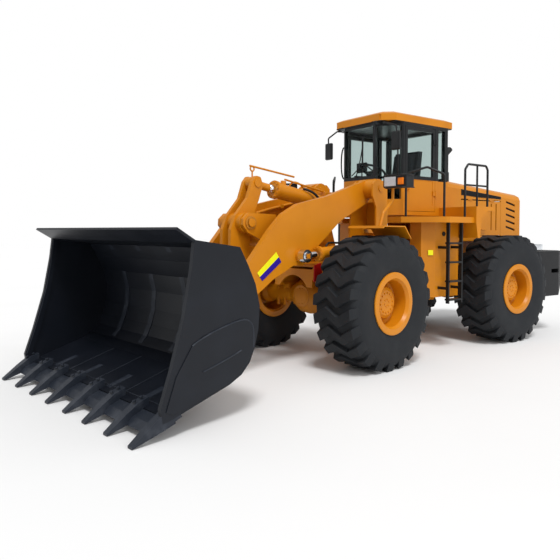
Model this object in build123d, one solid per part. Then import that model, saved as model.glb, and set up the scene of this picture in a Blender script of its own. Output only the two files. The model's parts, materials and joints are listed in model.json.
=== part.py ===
# Articulated wheel loader. Millimetres: +X ahead, +Y to the machine's left, +Z up.
# Every shape is drawn round the steering hinge at ground level, front half straight.
# The front half is then turned to its parked angle and everything is centred.
from build123d import *
from math import atan2, cos, degrees, hypot, pi, radians, sin, tan
import os

os.makedirs("parts", exist_ok=True)

# Whole machine
wheelBase = 3250.0
restSteer = 7.92
fit = 0.3
gap = 6.0

# Wheels
tyreRadius = 850.0
tyreHalf = 336.0
tyreLugDepth = 42.0
treadHalf = 1090.0
lugPitches = 22
lugHalf = 66.0
lugSweep = 70.0
lugKnee, kneeAt = 55.0, 90.0
lugBevel = 50.0
lugFoot = 740.0
bulgeShare = 0.78
shoulderInset = 84.0
flangeRoom = 25.0
beadRadius = 318.0
flangeRadius = 393.0
flangeHalf = 300.0
flangeThick = 18.0
beadInset = 4.0
rimWall = 26.0
discAt = 40.0
hubRadius = 215.0

# Axles
axleBall = 268.0
axleArm = 128.0
axleEnd = 175.0

# Front frame and its two towers
towerRear = 860.0
towerFront = 1260.0
towerInner = 360.0
towerOuter = 700.0
towerPlate = 26.0
frontDeck = 1330.0
frontBelly = 640.0
frontNose = 2020.0

# Boom
pivotX, pivotZ = 1030.0, 2350.0
bucketX, bucketZ = 3780.0, 655.0
armInner = 440.0
armPlate = 80.0
pivotRadius = 135.0
bossRadius = 120.0
pinRadius = 45.0
bucketPin = 60.0
keeper = 15.0
crossX, crossZ, crossRadius = 2560.0, 1660.0, 118.0

# Tilt linkage
bellX, bellZ = 3000.0, 1850.0
bellTopX, bellTopZ = 2760.0, 2360.0
bellLowX, bellLowZ = 2897.0, 1006.0
lugX, lugZ = 3740.0, 1115.0
tiltBaseX, tiltBaseZ = 1065.0, 2087.0
bellGap = 56.0
bellPlate = 50.0
earInner = 200.0
earPlate = 50.0
trunnion = 90.0
linkPin = 88.0
linkEye = 112.0
linkKeeper = 42.0
tiltBore = 105.0
tiltRod = 52.0

# Lift cylinders
liftBaseX, liftBaseZ = 1050.0, 1550.0
liftEyeX, liftEyeZ = 2420.0, 1440.0
liftMid = 612.0
liftBore = 80.0
liftRod = 48.0
liftEyeHalf = 48.0

# Bucket
bucketHalf = 1524.0
bucketPlate = 24.0
toothCount = 8
toothWidth = 96.0

# Steering
steerBaseX, steerBaseY = -850.0, 500.0
steerEyeX, steerEyeY = 350.0, 420.0  # with the machine straight
steerZ = 1000.0
steerBore = 52.0
steerRod = 28.0
hingeRadius = 62.0
lowHinge, highHinge = 700.0, 1440.0

# Rear frame, hood and counterweight
beamHalf = 400.0
beamPlate = 30.0
beamTop = 1420.0
beamLow = 960.0
rearDeck = 1600.0
hoodFront, hoodRear = -850.0, -2910.0
hoodHalf = 600.0
hoodTopFront, hoodTopRear = 2590.0, 2430.0
hoodSill = 1630.0
skin = 20.0
weightTop = 1420.0
weightRear = -3570.0
weightLow = 640.0

# Cab
cabRear, cabFront = -800.0, 530.0
cabHalf = 646.0
cabNose = 340.0
cabCorner = 220.0
cabFloor = 2000.0
cabSill = 2600.0
cabEave = 3400.0
roofRise = 140.0
cabTop = cabEave + roofRise
roofOverhang = 100.0
roofFront = 560.0
cabWall = 60.0
doorFront, doorRear = 190.0, -500.0
doorKnuckles = (cabFloor + 300, cabEave - 300)

# Platforms and tanks
deckTop = 1970.0
deckLow = 1885.0
deckOuter = 1300.0
fenderTop = 2130.0
fenderRear = -1050.0
tankInner, tankOuter = 685.0, 1020.0
tankLow = 780.0


def slabY(pts, lo, hi, r=0):
    wire = Wire.make_polygon([Vector(x, lo, z) for x, z in pts], close=True)
    s = Solid.extrude(Face(wire), Vector(0, hi - lo, 0))
    return s.fillet(r, s.edges().filter_by(Axis.Y)) if r else s


def slabX(pts, lo, hi, r=0):
    wire = Wire.make_polygon([Vector(lo, y, z) for y, z in pts], close=True)
    s = Solid.extrude(Face(wire), Vector(hi - lo, 0, 0))
    return s.fillet(r, s.edges().filter_by(Axis.X)) if r else s


def slabZ(pts, lo, hi, r=0):
    wire = Wire.make_polygon([Vector(x, y, lo) for x, y in pts], close=True)
    s = Solid.extrude(Face(wire), Vector(0, 0, hi - lo))
    return s.fillet(r, s.edges().filter_by(Axis.Z)) if r else s


def box(x0, x1, y0, y1, z0, z1):
    return Solid.make_box(x1 - x0, y1 - y0, z1 - z0, Plane((x0, y0, z0)))


def rodY(x, z, r, y0, y1):
    return Solid.make_cylinder(r, y1 - y0, Plane(origin=(x, y0, z), z_dir=(0, 1, 0)))


def rodZ(x, y, r, z0, z1):
    return Solid.make_cylinder(r, z1 - z0, Plane(origin=(x, y, z0), z_dir=(0, 0, 1)))


def rodAB(a, b, r):
    a, b = Vector(*a), Vector(*b)
    return Solid.make_cylinder(r, (b - a).length, Plane(origin=a, z_dir=b - a))


def join(*shapes):
    flat = []
    for s in shapes:
        flat += list(s) if isinstance(s, (list, tuple, ShapeList)) else [s]
    return Part() + flat


def cut(body, *tools):
    flat = []
    for s in tools:
        flat += list(s) if isinstance(s, (list, tuple, ShapeList)) else [s]
    return body - flat


def both(s):
    return [s, s.mirror(Plane.XZ)]


def tube(points, r, bend=45.0):
    # straight runs joined by round bends
    pts = [Vector(*p) for p in points]
    pieces, start = [], pts[0]
    for before, at, after in zip(pts, pts[1:], pts[2:]):
        back, ahead = (before - at).normalized(), (after - at).normalized()
        half = radians(back.get_angle(ahead)) / 2
        enter = at + back * (bend / tan(half))
        centre = at + (back + ahead).normalized() * (bend / sin(half))
        hinge = Axis(centre, (enter - centre).cross(back * -1))
        ring = Plane(origin=enter, z_dir=back * -1) * Circle(r)
        pieces += [rodAB(tuple(start), tuple(enter), r), revolve(ring, hinge, 180 - degrees(half) * 2)]
        start = at + ahead * (bend / tan(half))
    return join(pieces, rodAB(tuple(start), tuple(pts[-1]), r))


def turned(pts, centre, axis=(0, 1, 0)):
    # pts are (radius, distance along the axis)
    radial = Vector(1, 0, 0) if abs(axis[2]) > 0.5 else Vector(0, 0, 1)
    plane = Plane(origin=centre, x_dir=radial, z_dir=radial.cross(Vector(*axis)))
    face = plane * make_face(Polyline(*pts, close=True))
    return revolve(face, Axis(centre, axis))


# Wheels
def tyreRing(radius, y):
    # corners of the many-sided section at one width, flats touching the circle of that radius
    reach = radius / cos(pi / lugPitches)
    angles = [2 * pi * (i + 0.5) / lugPitches for i in range(lugPitches)]
    return [Vector(reach * cos(a), y, reach * sin(a)) for a in angles]


def makeCarcass():
    half = [(flangeRadius + flangeRoom, flangeHalf - beadInset), (tyreRadius * bulgeShare, tyreHalf),
            (tyreRadius - tyreLugDepth, tyreHalf - shoulderInset)]
    rings = [tyreRing(r, -y) for r, y in half] + [tyreRing(r, y) for r, y in reversed(half)]
    faces = [Face(Wire.make_polygon(rings[0], close=True)), Face(Wire.make_polygon(rings[-1], close=True))]
    for near, far in zip(rings, rings[1:]):
        for i in range(lugPitches):
            j = (i + 1) % lugPitches
            faces.append(Face(Wire.make_polygon([near[i], near[j], far[j], far[i]], close=True)))
    bore = [(c.X, c.Z) for c in tyreRing(beadRadius, 0)]
    return cut(Solid(Shell(faces)), slabY(bore, -tyreHalf, tyreHalf))


def makeTyre():
    # each lug is one bar that zigzags from shoulder to shoulder
    middle = [(lugSweep, -tyreHalf), (-lugKnee, -kneeAt), (lugKnee, kneeAt), (-lugSweep, tyreHalf)]
    plan = [(x - lugHalf, y) for x, y in middle] + [(x + lugHalf, y) for x, y in reversed(middle)]
    foot, crown = tyreHalf - 12, tyreHalf - lugBevel
    profile = [(-foot, lugFoot), (-crown, tyreRadius), (crown, tyreRadius), (foot, lugFoot)]
    lug = slabZ(plan, lugFoot - 100, tyreRadius + 10) & slabX(profile, -400, 400)
    return join(makeCarcass(), [lug.rotate(Axis.Y, 360 / lugPitches * i) for i in range(lugPitches)])


def makeRim():
    seat = beadRadius - fit
    side = flangeHalf - beadInset + fit
    lip = side + flangeThick
    rim = turned([(seat - rimWall, -side + 6), (seat, -side), (seat, side), (flangeRadius, side),
                  (flangeRadius, lip - 4), (flangeRadius - flangeThick, lip), (seat, lip), (seat - rimWall, side - 20),
                  (seat - rimWall, discAt + 60), (seat - 60, discAt + 26), (hubRadius + 20, discAt + 26),
                  (hubRadius, discAt + 40), (hubRadius - 22, discAt + 130), (hubRadius - 60, discAt + 150),
                  (0, discAt + 150), (0, discAt - 120), (hubRadius - 10, discAt - 120),
                  (hubRadius + 20, discAt), (seat - 60, discAt), (seat - rimWall, discAt - 40)], (0, 0, 0))
    inner = turned([(seat, -side), (seat - rimWall, -side + 20), (seat, -lip), (flangeRadius - flangeThick, -lip),
                    (flangeRadius, -lip + 4), (flangeRadius, -side)], (0, 0, 0))
    bolts = [Solid.make_cylinder(13, 20, Plane(origin=(0, discAt + 24, hubRadius + 48), z_dir=(0, 1, 0)))
             .rotate(Axis.Y, 360 / 20 * i) for i in range(20)]
    return join(rim, inner, bolts)


def placeWheel(shape, x, side):
    s = shape if side > 0 else shape.mirror(Plane.XZ)
    return s.moved(Location((x, side * treadHalf, tyreRadius)))


def makeAxle(x):
    reach = treadHalf + discAt - 120 - fit
    ball = axleBall
    pts = [(0, -reach), (axleEnd - 30, -reach), (axleEnd, -reach + 60), (axleEnd, -reach + 130),
           (axleArm, -reach + 190), (axleArm, -ball - 60), (ball * 0.72, -ball * 0.86), (ball * 0.96, -ball * 0.4),
           (ball, 0), (ball * 0.96, ball * 0.4), (ball * 0.72, ball * 0.86), (axleArm, ball + 60),
           (axleArm, reach - 190), (axleEnd, reach - 130), (axleEnd, reach - 60), (axleEnd - 30, reach), (0, reach)]
    return turned(pts, (x, 0, tyreRadius))


def axleSeat(x):
    return rodY(x, tyreRadius, axleArm + fit, -700, 700)


# Front half
def makeFrontFrame():
    side = [(560, frontBelly), (1240, frontBelly), (1380, 985), (1880, 985), (frontNose, 1110),
            (frontNose, 1250), (1900, frontDeck), (1300, frontDeck + 90), (towerFront, 1900),
            (towerFront - 60, pivotZ + 60), (towerFront - 130, pivotZ + 110), (towerRear + 80, pivotZ + 110),
            (towerRear + 10, pivotZ + 50), (towerRear, 1900), (720, 1500), (560, highHinge + 40)]
    outer = [(940, 1420), (1160, 1420), (1180, 1640), (1120, 1760), (1120, 2080), (towerFront - 60, 2240),
             (towerFront - 60, pivotZ + 60), (towerFront - 130, pivotZ + 110), (towerRear + 80, pivotZ + 110),
             (towerRear + 10, pivotZ + 50), (towerRear, 1900), (880, 1500)]
    plates = both(slabY(side, towerInner, towerInner + towerPlate))
    outers = both(slabY(outer, towerOuter, towerOuter + towerPlate))
    webs = both(box(towerRear + 10, towerRear + 36, towerInner + towerPlate, towerOuter, 1560, pivotZ - 180))
    shelf = both(box(950, 1170, towerInner + towerPlate, towerOuter, 1420, 1446))
    wall = box(560, 590, -towerInner, towerInner, frontBelly, highHinge + 40)
    deck = box(590, frontNose - 30, -towerInner, towerInner, frontDeck - 60, frontDeck - 34)
    floor = box(590, 1240, -towerInner, towerInner, frontBelly, frontBelly + 26)
    nose = cut(box(frontNose - 30, frontNose, -towerInner, towerInner, 1000, 1240),
               Solid.make_cylinder(axleBall + 34, 80, Plane(origin=(frontNose - 50, 0, tyreRadius),
                                                             z_dir=(1, 0, 0))))
    beam = box(towerRear + 20, towerRear + 110, -towerInner, towerInner, tiltBaseZ - 130, tiltBaseZ + 120)
    ears = both(slabY([(towerRear + 90, tiltBaseZ - 110), (tiltBaseX + 30, tiltBaseZ - 75),
                       (tiltBaseX + 75, tiltBaseZ - 30), (tiltBaseX + 75, tiltBaseZ + 30),
                       (tiltBaseX + 30, tiltBaseZ + 75), (towerRear + 90, tiltBaseZ + 110)],
                      bellGap + 5, bellGap + 45))
    hinge = []
    for z in (lowHinge, highHinge):
        plate = slabZ([(0, -130), (575, -towerInner), (575, towerInner), (0, 130)], z - 20, z + 20)
        hinge.append(cut(join(plate, rodZ(0, 0, 130, z - 20, z + 20)),
                         rodZ(0, 0, hingeRadius + fit, z - 60, z + 60)))
    steerPads = both(slabZ([(575, 250), (575, 360), (415, 480), (330, 500), (270, 430), (320, 340)],
                           steerZ - 60, steerZ - 35.5))
    saddle = both(box(1380, 1870, towerInner - 14, towerInner, 985, 1020))
    pads = both(box(1500, 1750, towerInner - 14, towerInner + 90, tyreRadius + 80, 986.0))
    solid = join(plates, outers, webs, shelf, wall, deck, floor, nose, beam, ears, hinge, steerPads, saddle, pads)
    # bores for the boom pivots, the lift cylinders and the tilt cylinder
    tools = both(rodY(pivotX, pivotZ, pinRadius + fit, towerInner - 20, towerOuter + 60))
    tools += both(rodY(liftBaseX, liftBaseZ, pinRadius + fit, towerInner - 20, towerOuter + 60))
    tools += [rodY(tiltBaseX, tiltBaseZ, pinRadius + fit, -200, 200)]
    tools += [axleSeat(wheelBase / 2), rodAB((500, 0, tyreRadius), (700, 0, tyreRadius), 75)]
    return cut(solid, tools)


def makeFrontPins():
    ends = towerOuter + towerPlate + 12
    pins = both(rodY(pivotX, pivotZ, pinRadius, towerInner - 14, ends))
    pins += both(rodY(liftBaseX, liftBaseZ, pinRadius, towerInner - 14, ends))
    return pins


def makeFrontFender():
    top = slabY([(1204, 1660), (1216, 1656), (1356, 1808), (1790, 1808), (1800, 1790), (1812, 1790),
                 (1800, 1822), (1346, 1822)], 800, 1360)
    stay = box(1340, 1420, towerOuter + towerPlate, 900, 1780, 1808)
    foot = box(1130, 1420, towerOuter + towerPlate, towerOuter + towerPlate + 14, 1730, 1808)
    return both(join(top, stay, foot))


def makeFrontLamps():
    arm = tube([(1400, 1000, 1822), (1330, 1000, 2000), (1120, 1000, 2180), (1120, 1000, 2345)], 20, 60)
    body = slabY([(1040, 2345), (1200, 2345), (1200, 2500), (1060, 2500), (1040, 2480)], 900, 1130)
    lens = slabX([(915, 2360), (1115, 2360), (1115, 2485), (915, 2485)], 1200, 1212)
    return both(join(arm, body)), both(lens)


def makeBoom():
    tip = bossRadius
    edge = [(pivotX + 20, pivotZ + pivotRadius), (1885, 2215), (2445, 2090), (2700, 1960), (2900, 1775),
            (3290, 1336), (bucketX + 60, bucketZ + 58), (bucketX + tip * 0.6, bucketZ - 50),
            (bucketX - 40, bucketZ - tip * 0.9), (3110, 1010), (2870, 1165), (2530, 1320), (2350, 1320),
            (2220, 1450), (1640, 1890), (1120, 2130), (pivotX - 90, pivotZ - 90)]
    arm = slabY(edge, armInner, armInner + armPlate)
    pivot = rodY(pivotX, pivotZ, pivotRadius, towerInner + towerPlate + 6, towerOuter - 6)
    tipBoss = rodY(bucketX, bucketZ, 85, armInner, armInner + armPlate)
    lug = rodY(liftEyeX, liftEyeZ, 78, armInner, liftMid - liftEyeHalf - 0.5)
    arms = both(join(arm, pivot, tipBoss, lug))
    tubeY = rodY(crossX, crossZ, crossRadius, -armInner, armInner)
    ear = slabY([(crossX - 90, crossZ - 60), (crossX + 60, crossZ - 110), (bellX + 40, bellZ - 118),
                 (bellX + 118, bellZ - 30), (bellX + 112, bellZ + 50), (bellX + 30, bellZ + 122),
                 (crossX + 20, crossZ + 300), (crossX - 110, crossZ + 60)], earInner, earInner + earPlate, 20)
    solid = join(arms, tubeY, both(ear))
    tools = both(rodY(pivotX, pivotZ, pinRadius + fit, 0, 900))
    tools += both(rodY(bucketX, bucketZ, bucketPin + fit, 300, 700))
    tools += [rodY(bellX, bellZ, pinRadius + fit, -400, 400)]
    return cut(solid, tools)


def cylinderBarrel(base, eye, mid, bore, eyeWidth, length):
    a, b = Vector(base[0], mid, base[1]), Vector(eye[0], mid, eye[1])
    d = (b - a).normalized()
    body = rodAB(tuple(a + d * 95), tuple(a + d * length), bore)
    neck = rodAB(tuple(a + d * 60), tuple(a + d * 100), min(bore * 0.7, eyeWidth - 1))
    gland = rodAB(tuple(a + d * (length - 30)), tuple(a + d * (length + 22)), bore + 6)
    eyeS = rodY(base[0], base[1], 88, mid - eyeWidth, mid + eyeWidth)
    hole = rodY(base[0], base[1], pinRadius + fit, mid - 300, mid + 300)
    bore2 = rodAB(tuple(a + d * 150), tuple(a + d * (length + 60)), bore * 0.8)
    return cut(join(body, neck, gland, eyeS), hole, bore2)


def cylinderRod(base, eye, mid, bore, rod, eyeWidth, inside):
    a, b = Vector(base[0], mid, base[1]), Vector(eye[0], mid, eye[1])
    d = (b - a).normalized()
    stem = rodAB(tuple(a + d * inside), tuple(b - d * 20), rod)
    piston = rodAB(tuple(a + d * inside), tuple(a + d * (inside + 60)), bore * 0.8 - 1)
    eyeS = rodY(eye[0], eye[1], 82, mid - eyeWidth, mid + eyeWidth)
    neck = rodAB(tuple(b - d * 130), tuple(b - d * 40), min(rod + 10, eyeWidth - 1))
    return join(stem, piston, eyeS, neck)


def makeLiftRods():
    rod = cylinderRod((liftBaseX, liftBaseZ), (liftEyeX, liftEyeZ), liftMid, liftBore, liftRod, liftEyeHalf, 900)
    cap = rodY(liftEyeX, liftEyeZ, 52, liftMid + liftEyeHalf, liftMid + liftEyeHalf + 14)
    return both(join(rod, cap))


def makeBellcrank():
    outline = [(bellTopX - 92, bellTopZ - 20), (bellTopX - 50, bellTopZ + 78), (bellTopX + 28, bellTopZ + 88),
               (bellTopX + 88, bellTopZ + 18), (2925, 2160), (bellX + 118, bellZ + 92), (bellX + 190, bellZ - 80),
               (bellX + 196, bellZ - 300), (bellX + 120, bellZ - 560), (bellLowX + linkEye, bellLowZ + 10),
               (bellLowX + 58, bellLowZ - linkEye), (bellLowX - 58, bellLowZ - linkEye), (bellLowX - linkEye, bellLowZ + 10),
               (bellLowX - 60, bellLowZ + 260), (bellX - 95, bellZ - 320), (bellX - 150, bellZ - 60),
               (bellX - 170, bellZ + 90), (2740, 2140)]
    plates = both(slabY(outline, bellGap, bellGap + bellPlate, 30))
    hub = rodY(bellX, bellZ, trunnion + 36, -earInner + 5, earInner - 5)
    caps = both(rodY(bellTopX, bellTopZ, 55, bellGap + bellPlate, bellGap + bellPlate + 14))
    tools = [rodY(bellX, bellZ, trunnion + fit, -400, 400), rodY(bellLowX, bellLowZ, linkPin + fit, -400, 400)]
    return cut(join(plates, hub, caps), tools)


def makeLink():
    a, b = Vector(bellLowX, 0, bellLowZ), Vector(lugX, 0, lugZ)
    d = (b - a).normalized()
    n = Vector(-d.Z, 0, d.X)
    half = bellGap - 1
    corners = [a + n * 62, b + n * 58, b - n * 58, a - n * 62]
    bar = slabY([(c.X, c.Z) for c in corners], -half + 12, half - 12)
    eyes = [rodY(a.X, a.Z, linkEye, -half, half), rodY(b.X, b.Z, 86, -half, half)]
    return cut(join(bar, eyes), rodY(a.X, a.Z, linkPin + fit, -400, 400))


def inset(pts, t):
    # open outline moved sideways by t, to the right of its direction of travel
    dirs = []
    for (x0, z0), (x1, z1) in zip(pts, pts[1:]):
        n = hypot(x1 - x0, z1 - z0)
        dirs.append(((x1 - x0) / n, (z1 - z0) / n))
    out = []
    for i, (x, z) in enumerate(pts):
        a = dirs[max(i - 1, 0)]
        b = dirs[min(i, len(dirs) - 1)]
        na, nb = (a[1], -a[0]), (b[1], -b[0])
        k = 1 + na[0] * nb[0] + na[1] * nb[1]
        out.append((x + t * (na[0] + nb[0]) / k, z + t * (na[1] + nb[1]) / k))
    return out


floorLip = (4960, 160)
topLip = (4885, 1777)
toothTip = 5303.0
toothRoot = 4905.0
edgeFront = 5130.0


def bucketCurve():
    return [floorLip, (4330, 352), (4190, 420), (4090, 520), (4030, 650), (3985, 820), (3968, 1040),
            (4020, 1250), (4110, 1430), (4210, 1600), (4700, 1668), topLip]


def makeBucket():
    curve = bucketCurve()
    inner = inset(curve, bucketPlate)
    shell = slabY(curve + inner[::-1], -bucketHalf + 2, bucketHalf - 2)
    sideLine = curve[:-1] + [(4712, 1655), (4740, 1420), (4820, 1000), (4950, 560), (5050, 270), (5030, 150)]
    side = slabY(sideLine, bucketHalf - bucketPlate, bucketHalf)
    rim = slabY([(4712, 1655), (4740, 1420), (4820, 1000), (4950, 560), (5050, 270), (5030, 150), (4960, 160),
                 (4965, 270), (4870, 540), (4745, 980), (4665, 1420), (4640, 1650)], bucketHalf - 44, bucketHalf)
    ears = []
    for y0 in (armInner - 62, armInner + armPlate + 6):
        ears.append(slabY([(bucketX - 60, bucketZ - 92), (bucketX + 30, bucketZ - 105), (4085, 540), (4045, 640),
                           (3995, 820), (3988, 930), (bucketX + 20, bucketZ + 110), (bucketX - 70, bucketZ + 82),
                           (bucketX - 108, bucketZ)], y0, y0 + 56))
    lugs = slabY([(lugX - 60, lugZ - 66), (lugX + 20, lugZ - 120), (3990, 850), (3978, 1040), (4030, 1255),
                  (lugX + 40, lugZ + 92), (lugX - 50, lugZ + 76), (lugX - 90, lugZ)], bellGap, bellGap + 46)
    ribs = slabY([(3990, 840), (3925, 900), (3905, 1050), (3960, 1270), (4060, 1450), (4118, 1440),
                  (4030, 1255), (3975, 1040)], 700, 724)
    caps = rodY(lugX, lugZ, 55, bellGap + 46, bellGap + 60)
    body = join(shell, both(side), both(rim), both(ears[0]), both(ears[1]), both(join(lugs, caps)), both(ribs))
    return cut(body, both(rodY(bucketX, bucketZ, bucketPin + fit, 300, 700)))


def makeEdge(bucket):
    slope = atan2(-93, 260)
    u = Vector(cos(slope), 0, sin(slope))
    n = Vector(-u.Z, 0, u.X)
    back, front = Vector(edgeFront - 290, 0, 172), Vector(edgeFront, 0, 172 - 290 * tan(-slope))
    pts = [back, front, front + n * 12 - u * 20, front + n * 38 - u * 80, back + n * 38]
    plate = slabY([(p.X, p.Z) for p in pts], -bucketHalf, bucketHalf)
    tooth = slabY([(toothRoot, 128), (toothTip, 3), (toothTip, 22), (edgeFront, 152), (edgeFront - 120, 232),
                   (toothRoot, 268)],
                  -toothWidth / 2, toothWidth / 2)
    wedge = slabZ([(toothRoot - 5, -toothWidth / 2), (edgeFront - 50, -toothWidth / 2), (toothTip, -toothWidth * 0.36),
                   (toothTip, toothWidth * 0.36), (edgeFront - 50, toothWidth / 2), (toothRoot - 5, toothWidth / 2)], -20, 400)
    tooth = tooth & wedge
    teeth = []
    step = (2 * bucketHalf - toothWidth) / (toothCount - 1)
    for i in range(toothCount):
        teeth.append(tooth.moved(Location((0, -bucketHalf + toothWidth / 2 + i * step, 0))))
    return cut(join(plate, teeth), bucket)


def pinAt(x, z, half, r=pinRadius):
    return rodY(x, z, r, -half, half)


def makeBellPin():
    # a thick journal that the bellcrank turns on, with thinner ends in the boom's ears
    journal = rodY(bellX, bellZ, trunnion, -earInner + 1, earInner - 1)
    outer = earInner + earPlate + 0.5
    keepers = both(rodY(bellX, bellZ, trunnion - 8, outer, outer + keeper))
    return join(journal, pinAt(bellX, bellZ, outer + keeper), keepers)


def makeLinkPin():
    outer = bellGap + bellPlate + 0.5
    return join(pinAt(bellLowX, bellLowZ, outer, linkPin),
                both(rodY(bellLowX, bellLowZ, linkEye, outer, outer + linkKeeper)))


def makeBucketPins():
    inner, outer = armInner - 62.5, armInner + armPlate + 62.5
    pin = rodY(bucketX, bucketZ, bucketPin, inner, outer)
    keepers = [rodY(bucketX, bucketZ, 92, inner - keeper, inner), rodY(bucketX, bucketZ, 92, outer, outer + keeper)]
    return both(join(pin, keepers))


# Rear half
def makeRearFrame():
    beamPlan = [(hoodRear, beamHalf - beamPlate), (-800, beamHalf - beamPlate), (-420, 262), (-420, 292),
                (-800, beamHalf), (hoodRear, beamHalf)]
    beams = both(slabZ(beamPlan, beamLow, beamTop))
    bulk = box(-450, -420, -280, 280, 640, beamTop + 80)
    low = slabZ([(-440, -280), (-800, -385), (-800, 385), (-440, 280)], 640, 670)
    drop = both(slabZ([(-800, 370), (-420, 262), (-420, 292), (-800, 400)], 640, beamLow))
    hinge = []
    for z in (lowHinge, highHinge):
        for lo in (z + 26, z - 60):
            plate = slabZ([(-430, -262), (0, -125), (0, 125), (-430, 262)], lo, lo + 34)
            hinge.append(join(plate, rodZ(0, 0, 125, lo, lo + 34)))
        hinge.append(rodZ(0, 0, hingeRadius, z - 72, z + 72))
    deck = box(hoodRear, -800, -hoodHalf, hoodHalf, rearDeck, hoodSill)
    walls = both(slabX([(beamHalf - beamPlate, beamTop), (beamHalf, beamTop), (beamHalf, rearDeck),
                        (beamHalf - beamPlate, rearDeck)], hoodRear, -900))
    neck = both(box(-800, -420, 262, 292, beamTop, deckLow))
    step = box(-830, -800, -400, 400, beamTop, rearDeck + 30)
    bearer = slabZ([(-830, -620), (-60, -620), (330, -420), (330, 420), (-60, 620), (-830, 620)], deckLow,
                   cabFloor)
    post = both(box(-830, -800, 262, 400, rearDeck, deckLow))
    steerEars = []
    for lo in (steerZ + 40, steerZ - 60):
        ear = slabZ([(-920, beamHalf - 4), (-900, 540), (-850, 556), (-815, 540), (-812, beamHalf - 4)], lo, lo + 20)
        steerEars += both(ear)
    steerPins = both(rodZ(steerBaseX, steerBaseY, steerRod, steerZ - 66, steerZ + 66))
    saddle = both(box(-wheelBase / 2 - 130, -wheelBase / 2 + 130, beamHalf - 56, beamHalf, tyreRadius + 70, beamLow + 10))
    solid = join(beams, bulk, low, drop, hinge, deck, walls, neck, step, bearer, post, steerEars, steerPins, saddle)
    bay = box(-2290, -1190, -345, 345, 1500, 1700)
    return cut(solid, axleSeat(-wheelBase / 2), rodAB((-600, 0, tyreRadius), (-300, 0, tyreRadius), 75), bay)


def makeShaft(side):
    # each half of the propeller shaft meets the other at a ball on the steering axis
    end = wheelBase / 2 - axleBall + 20
    rod = rodAB((side * 74, 0, tyreRadius), (side * end, 0, tyreRadius), 42)
    if side < 0:
        ball = Solid.make_sphere(52, Plane((0, 0, tyreRadius)))
        return join(rod, ball, box(-90, -40, -30, 30, tyreRadius - 24, tyreRadius + 24))
    prongs = [box(-26, 96, -30, 30, tyreRadius + lo, tyreRadius + lo + 18) for lo in (58, -76)]
    return join(rod, prongs, box(74, 96, -30, 30, tyreRadius - 76, tyreRadius + 76))


def steerLine(side):
    c, s = cos(radians(restSteer)), sin(radians(restSteer))
    x, y = steerEyeX, side * steerEyeY
    return Vector(steerBaseX, side * steerBaseY, steerZ), Vector(x * c - y * s, x * s + y * c, steerZ)


def makeSteerBarrel(side):
    a, b = steerLine(side)
    d = (b - a).normalized()
    body = rodAB(tuple(a + d * 62), tuple(a + d * 700), steerBore)
    stub = rodAB(tuple(a + d * 30), tuple(a + d * 80), 34)
    eye = rodZ(a.X, a.Y, 52, steerZ - 35, steerZ + 35)
    bore = rodAB(tuple(a + d * 90), tuple(a + d * 760), steerBore * 0.78)
    return cut(join(body, stub, eye), rodZ(a.X, a.Y, steerRod + fit, 0, 2000), bore)


def makeSteerRod(side):
    a, b = steerLine(side)
    d = (b - a).normalized()
    inside = (b - a).length - 560
    rod = rodAB(tuple(a + d * inside), tuple(b - d * 20), steerRod)
    piston = rodAB(tuple(a + d * inside), tuple(a + d * (inside + 50)), steerBore * 0.78 - 1)
    eye = rodZ(b.X, b.Y, 50, steerZ - 35, steerZ + 35)
    return join(rod, piston, eye, rodZ(b.X, b.Y, 32, steerZ + 35, steerZ + 48))


doorSkin = 24.0
exhaustRadius = 58.0
exhaustX, exhaustY = -1180.0, 300.0
engineTop = 2060.0
lidFront, lidRear = -1210.0, -2320.0
lidLow, lidHigh = 1690.0, 2300.0
lidAxisZ = lidHigh - 16
knuckleLength = 90.0
lidKnuckles = (-1500.0, -2100.0)
grilleKnuckles = (1780.0, 2160.0)
grilleLug = 20.0
grilleHalf, grilleLow, grilleHigh = 500.0, 1690.0, 2330.0
grilleAxisX, grilleAxisY = hoodRear - 24, grilleHalf - gap - 8


def hoodSection(x, top, grow):
    half = hoodHalf - grow
    t = top - grow
    pts = [(-half, hoodSill - 60 * (grow > 0)), (half, hoodSill - 60 * (grow > 0)), (half, t - 110), (half - 30, t - 45),
           (half - 110, t), (-half + 110, t), (-half + 30, t - 45), (-half, t - 110)]
    return Wire.make_polygon([Vector(x, y, z) for y, z in pts], close=True)


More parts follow.
